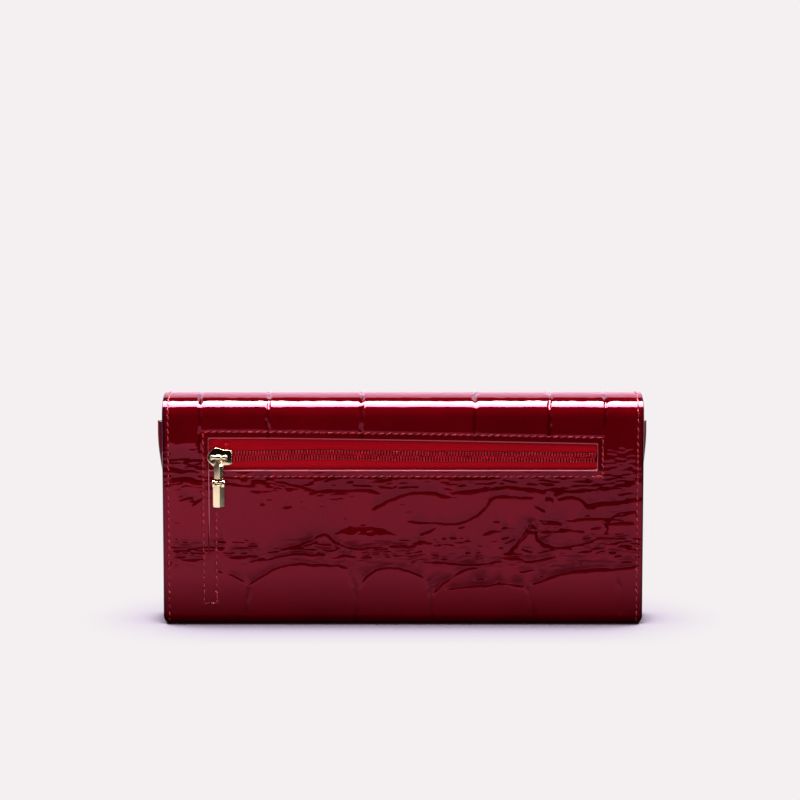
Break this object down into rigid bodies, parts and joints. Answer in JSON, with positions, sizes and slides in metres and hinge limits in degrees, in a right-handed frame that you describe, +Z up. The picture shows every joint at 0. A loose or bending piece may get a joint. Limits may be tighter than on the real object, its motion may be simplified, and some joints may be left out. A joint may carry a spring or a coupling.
{
  "type": "long flap wallet with zipped back pocket",
  "caption": "Long flap-over wallet in croc-embossed patent leather, with a letterbox zip coin pocket in its back, side gussets, inner dividers, card pockets and a magnetic snap.",
  "frame": {"origin": "on the flat foot the wallet stands on, midway along its length, under the middle of its thickness", "axes": "+X along the wallet's length (to the right when the zipped back is seen), -Y out of the zipped back, +Y out of the flap's face, +Z up"},
  "size_m": [0.1984, 0.0345, 0.0935],
  "materials": {
    "patent_leather": "dark red, croc embossed, high-gloss patent coat",
    "gusset_leather": "dark red, smooth, satin",
    "stiffening_board": "grey fibre board, matt",
    "lining_fabric": "dark red twill, matt",
    "pocket_fabric": "dark red twill, matt",
    "zip_tape": "bright red woven tape, matt",
    "zip_coil": "red nylon, satin",
    "pull_metal": "pale gold plate, polished",
    "snap_metal": "pale gold plate, polished",
    "magnet": "dark grey ferrite, matt"
  },
  "bodies": {
    "wallet_back": {"back_cover": "patent_leather", "back_board": "stiffening_board", "back_lining": "lining_fabric", "foot_lining": "lining_fabric", "zip_tape_upper": "zip_tape", "zip_tape_lower": "zip_tape", "zip_coil_upper": "zip_coil", "zip_coil_lower": "zip_coil", "coin_pocket_bag": "lining_fabric", "gusset_left": "gusset_leather", "gusset_right": "gusset_leather"},
    "front": {"front_cover": "patent_leather", "front_board": "stiffening_board", "front_lining": "lining_fabric", "snap_socket": "snap_metal", "snap_magnet": "magnet", "snap_socket_washer": "snap_metal"},
    "rear_divider": {"rear_divider": "lining_fabric", "card_pocket_1": "pocket_fabric", "card_pocket_2": "pocket_fabric", "card_pocket_3": "pocket_fabric", "card_pocket_4": "pocket_fabric", "card_pocket_hems": "pocket_fabric"},
    "front_divider": {"front_divider": "lining_fabric", "slip_pocket": "pocket_fabric"},
    "flap_top": {"flap_cover_top": "patent_leather", "flap_lining_top": "lining_fabric"},
    "flap_front": {"flap_cover_front": "patent_leather", "flap_board": "stiffening_board", "flap_lining_front": "lining_fabric", "snap_plug": "snap_metal", "snap_plug_washer": "snap_metal"},
    "zip_slider": {"slider_body": "pull_metal", "slider_bridge": "pull_metal"},
    "pull_link": {"pull_link": "pull_metal"},
    "pull_tab": {"pull_tab": "pull_metal", "pull_pin": "pull_metal"}
  },
  "joints": [
    {"name": "flap_open", "type": "hinge", "parent": "wallet_back", "child": "flap_top", "pos_m": [0, -0.01301, 0.09101], "axis": [1, 0, 0], "range_deg": [0, 120]},
    {"name": "flap_fold", "type": "hinge", "parent": "flap_top", "child": "flap_front", "pos_m": [0, 0.01301, 0.09101], "axis": [1, 0, 0], "range_deg": [0, 90]},
    {"name": "front_open", "type": "hinge", "parent": "wallet_back", "child": "front", "pos_m": [0, 0.01053, 0.00117], "axis": [-1, 0, 0], "range_deg": [0, 18], "deforming": ["gusset_left", "gusset_right"]},
    {"name": "front_divider_tilt", "type": "hinge", "parent": "wallet_back", "child": "front_divider", "pos_m": [0, 0.0043, 0.0032], "axis": [-1, 0, 0], "range_deg": [0, 12]},
    {"name": "rear_divider_tilt", "type": "hinge", "parent": "wallet_back", "child": "rear_divider", "pos_m": [0, -0.0036, 0.0032], "axis": [-1, 0, 0], "range_deg": [0, 6]},
    {"name": "zip_slide", "type": "slide", "parent": "wallet_back", "child": "zip_slider", "axis": [1, 0, 0], "range_m": [0, 0.1465], "deforming": ["zip_coil_upper", "zip_coil_lower", "zip_tape_upper", "zip_tape_lower"]},
    {"name": "pull_lift", "type": "hinge", "parent": "zip_slider", "child": "pull_link", "pos_m": [-0.0746, -0.01785, 0.0693], "axis": [-1, 0, 0], "range_deg": [0, 120]},
    {"name": "tab_lift", "type": "hinge", "parent": "pull_link", "child": "pull_tab", "pos_m": [-0.0746, -0.01785, 0.0591], "axis": [-1, 0, 0], "range_deg": [0, 60]}
  ],
  "couplings": [
    {"joint": "flap_fold", "follows": "flap_open", "ratio": 0.75},
    {"joint": "front_open", "follows": "flap_open", "ratio": 0.15},
    {"joint": "front_divider_tilt", "follows": "flap_open", "ratio": 0.1},
    {"joint": "rear_divider_tilt", "follows": "flap_open", "ratio": 0.05}
  ]
}
